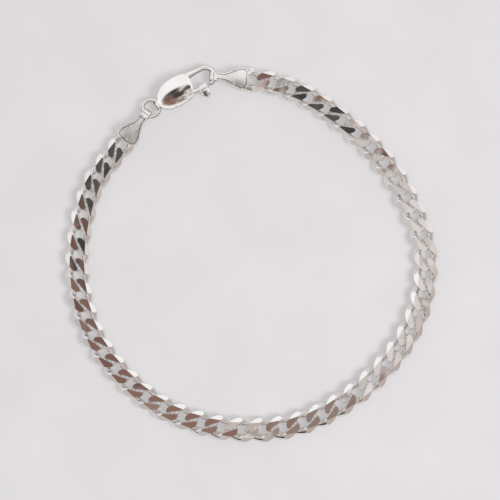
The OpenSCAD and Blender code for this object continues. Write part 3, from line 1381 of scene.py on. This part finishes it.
    def overhead(self, tree: NodeTree, spot: NodeSocket) -> NodeSocket:
        """Colours of the dark patch overhead, which the flat cut faces mirror.

        Args:
            tree: the world's node tree.
            spot: where a way meets a level ceiling, from the patch's middle, in heights.

        Returns:
            The colour.
        """
        drift = add_node(tree, "TexNoise", {"Vector": spot, "Scale": self.drift_scale, "Detail": 0.0})
        flecks = add_node(tree, "TexNoise", {"Vector": spot, "Scale": self.fleck_scale, "Detail": 1.0})
        x, y = (add_node(tree, "SeparateXYZ", {0: spot}, out=name) for name in ("X", "Y"))
        angle = add_node(tree, "Math", {0: y, 1: x}, operation="ARCTAN2")
        # from -180 degrees round to 180: left, below, right, above
        turn = add_node(tree, "MapRange", {"Value": angle, "From Min": -math.pi, "From Max": math.pi})
        ends = self.drift_band + (-self.drift_share, self.drift_share)
        links = {"Value": drift, **dict(zip(("From Min", "From Max", "To Min", "To Max"), ends))}
        push = add_node(tree, "MapRange", links, clamp=False)
        turned = add_node(tree, "Math", {0: turn, 1: push}, operation="ADD")
        wrapped = add_node(tree, "Math", {0: turned, 1: 1.0, 2: 0.0}, operation="WRAP")
        deep, pale = (
            add_node(tree, "ValToRGB", {"Fac": wrapped}, [(where, tone.value) for where, tone in tones])
            for tones in (self.deep_tones, self.pale_tones)
        )
        low, high = self.fleck_band
        mask = add_node(tree, "MapRange", {"Value": flecks, "From Min": low, "From Max": high}, **EASED)
        pair = {MIX_SHARE: mask, MIX_LOW: deep, MIX_HIGH: pale}
        ring = add_node(tree, "Mix", pair, **MIX)
        outside = self.beyond(tree, spot, self.core_at, self.core_reach)
        pair = {MIX_SHARE: outside, MIX_LOW: linear(self.core_tone.value), MIX_HIGH: ring}
        return add_node(tree, "Mix", pair, **MIX)

    def walls(self, tree: NodeTree, way: NodeSocket, rise: NodeSocket) -> NodeSocket:
        """Colours of the pale walls, with their darker sides.

        Args:
            tree: the world's node tree.
            way: the way looked.
            rise: how steeply it rises.

        Returns:
            The colour.
        """
        colour = add_node(tree, "ValToRGB", {"Fac": rise}, self.wall_tones)
        for towards, tone, (low, high) in self.dark_sides:
            links = {0: way, 1: towards}
            side = add_node(tree, "VectorMath", links, out="Value", operation="DOT_PRODUCT")
            links = {"Value": side, "From Min": low, "From Max": high}
            share = add_node(tree, "MapRange", links, **EASED)
            pair = {MIX_SHARE: share, MIX_LOW: colour, MIX_HIGH: linear(tone)}
            colour = add_node(tree, "Mix", pair, **MIX)
        return colour

    def room(self) -> None:
        """Builds the pale room with the dark patch overhead."""
        world = bpy.data.worlds.new("room")
        bpy.context.scene.world = world
        world.use_nodes = True
        tree = world.node_tree
        way = add_node(tree, "TexCoord", {}, out="Generated")
        x, y, z = (add_node(tree, "SeparateXYZ", {0: way}, out=name) for name in ("X", "Y", "Z"))
        rise = add_node(tree, "Math", {0: z, 1: self.lowest}, operation="MAXIMUM")
        u, v = (add_node(tree, "Math", {0: axis, 1: rise}, operation="DIVIDE") for axis in (x, y))
        flat = add_node(tree, "CombineXYZ", {0: u, 1: v})
        over = (0.0, math.tan(math.radians(self.slant)), 0.0)
        spot = add_node(tree, "VectorMath", {0: flat, 1: over}, operation="SUBTRACT")
        patch, walls = self.overhead(tree, spot), self.walls(tree, way, z)
        outside = self.beyond(tree, spot, self.rim_at, self.rim_reach)
        pair = {MIX_SHARE: outside, MIX_LOW: patch, MIX_HIGH: walls}
        colour = add_node(tree, "Mix", pair, **MIX)
        backdrop = tree.nodes["Background"].inputs
        tree.links.new(colour, backdrop["Color"])
        backdrop["Strength"].default_value = self.room_light

    def build(self) -> None:
        """Sets the whole studio."""
        self.floor()
        self.camera()
        self.lights()
        self.room()
        bpy.context.scene.view_settings.view_transform = "Standard"
        bpy.context.scene.cycles.glossy_bounces = self.bounces


def settle(piece: Object, body: Body, node: str) -> None:
    """Tells the frame what a finished piece rides on and stands for.

    Args:
        piece: the finished piece.
        body: the CAD body that it moves with.
        node: the CAD node that it replaces.
    """
    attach(piece, body.value)
    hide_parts(node)
    triangles = sum(len(p.vertices) - 2 for p in piece.data.polygons)
    log.info("%s: %d triangles, stands for %s", piece.name, triangles, node)


def main() -> None:
    """Builds the bracelet piece by piece, then the studio."""
    logging.basicConfig(level=logging.INFO, format="%(name)s: %(message)s")
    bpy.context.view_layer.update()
    wire, cut = WIRE_FINISH.make(), CUT_FINISH.make()
    plate, seam, cast = CAP_FINISH.make(), SEAM_FINISH.make(), CLASP_FINISH.make()
    layout = Layout()
    link = CurbLink((wire, cut)).model()
    settle(Chain(layout, link).model(), Body.BRACELET, "chain")
    for name, node, eye, turn, crown_y, crown_r in (
        ("left_end_plate", "end_cap_left", layout.left_eye_at, layout.cap_turn_left, 0.1, 52.0),
        ("right_end_plate", "end_cap_right", layout.right_eye_at, layout.cap_turn_right, -0.9, 22.0),
    ):
        cap = EndCap(layout, link, (plate, seam), name, eye, turn, crown_y, crown_r)
        settle(cap.model(), Body.BRACELET, node)
    bpy.data.objects.remove(link, do_unlink=True)
    settle(JumpRing(layout, RING_FINISH.make()).model(), Body.BRACELET, "jump_ring")
    clasp = ClaspBody(layout, cast)
    settle(clasp.model(), Body.BRACELET, "clasp_body")
    settle(ClaspLever(clasp, cast).model(), Body.LEVER, "clasp_lever")
    settle(HingePin(clasp, wire).model(), Body.BRACELET, "clasp_pin")
    Studio().build()


if __name__ == "__main__":
    main()
